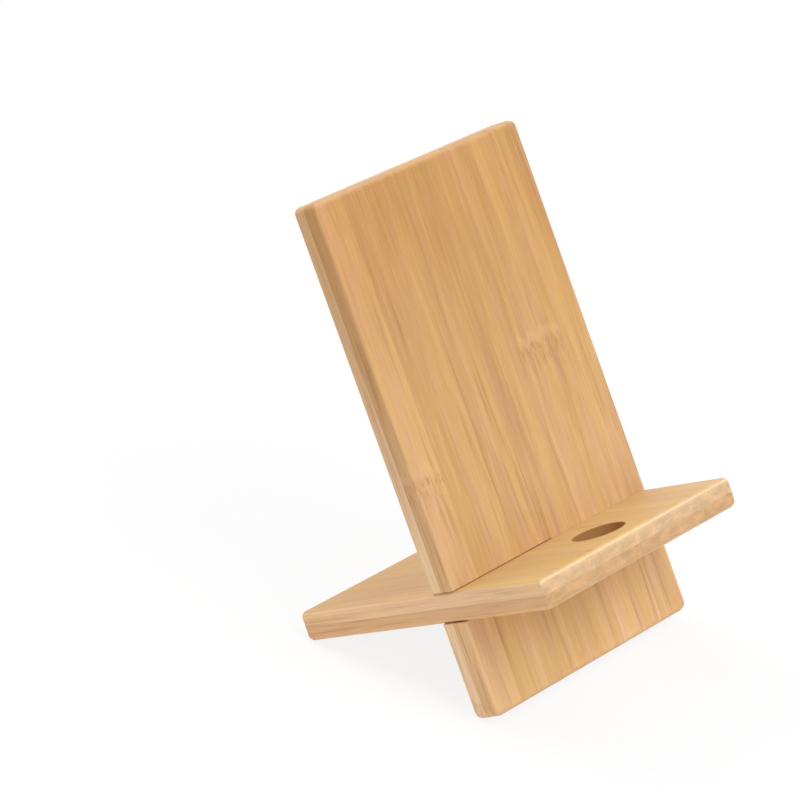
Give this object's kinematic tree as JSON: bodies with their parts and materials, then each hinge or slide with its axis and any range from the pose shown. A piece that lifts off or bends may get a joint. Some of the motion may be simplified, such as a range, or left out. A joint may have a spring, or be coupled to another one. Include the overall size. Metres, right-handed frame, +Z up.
{
  "type": "phone holder",
  "caption": "Flat-pack phone stand of two crossed laminated bamboo boards: leaning back panel, raised shelf with a round hole for a charging lead.",
  "frame": {"origin": "on the table, under the middle of the whole stand", "axes": "+Z up, +X to the user's right across the stand, front (the phone's side) towards -Y"},
  "size_m": [0.08, 0.0895, 0.1257],
  "materials": {
    "pale_bamboo": "satin clear lacquer on sanded bamboo",
    "streaked_bamboo": "satin clear lacquer on sanded bamboo"
  },
  "bodies": {
    "shelf": {"shelf_top_ply": "pale_bamboo", "shelf_bottom_ply": "streaked_bamboo"},
    "back_panel": {"back_panel_front_ply": "streaked_bamboo", "back_panel_rear_ply": "pale_bamboo"}
  },
  "joints": [
    {"name": "panel_pull_out", "type": "slide", "parent": "shelf", "child": "back_panel", "axis": [1, 0, 0], "range_m": [0, 0.042]}
  ]
}
